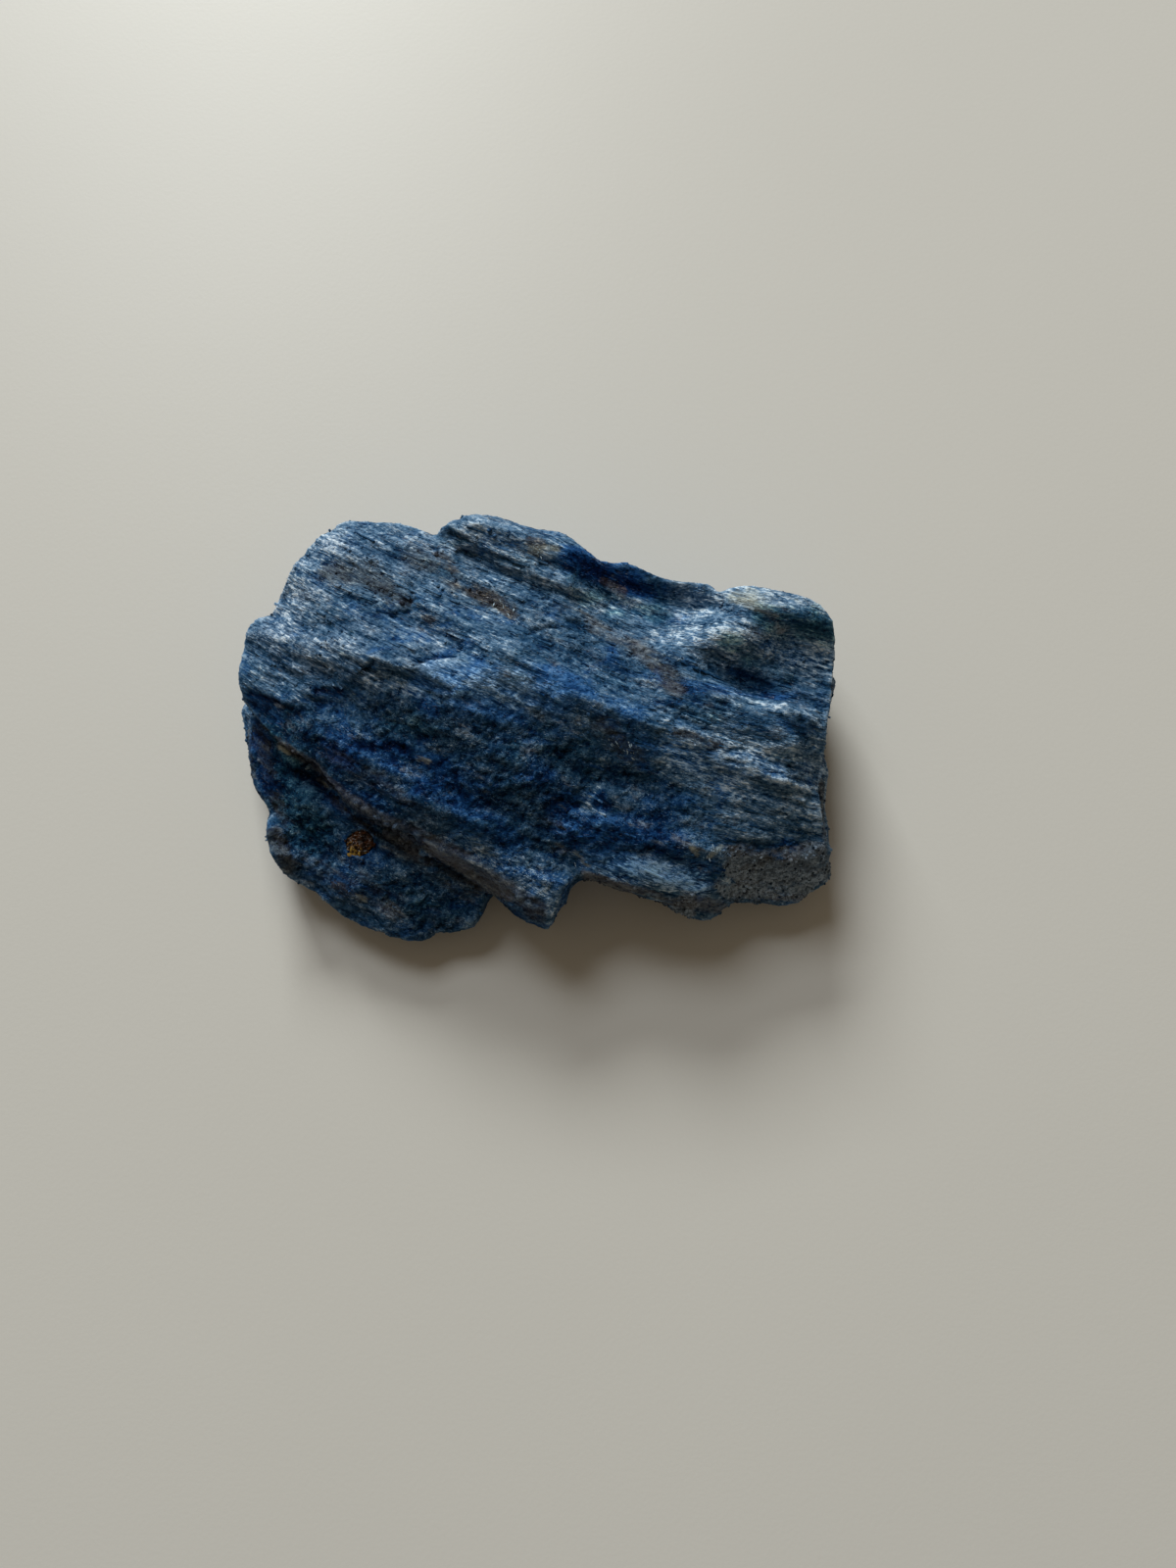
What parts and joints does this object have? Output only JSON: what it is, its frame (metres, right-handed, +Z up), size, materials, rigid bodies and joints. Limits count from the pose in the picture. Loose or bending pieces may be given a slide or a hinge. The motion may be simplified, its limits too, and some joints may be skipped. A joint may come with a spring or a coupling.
{
  "type": "sodalite cluster",
  "caption": "Rough broken chunk of fibrous blue rock with a ridged top, a lower shelf and a grown-in amber crystal, lying on its uneven underside.",
  "frame": {"origin": "on the table plane, under the middle of the stone's bounding box", "axes": "+X along the stone's length, +Y to its north side, away from the shelf, +Z up from the table"},
  "size_m": [0.0838, 0.0566, 0.0242],
  "materials": {
    "blue_rock": "rough, fibrous broken surface"
  },
  "bodies": {
    "root": {"sodalite_stone": "blue_rock"}
  },
  "joints": []
}
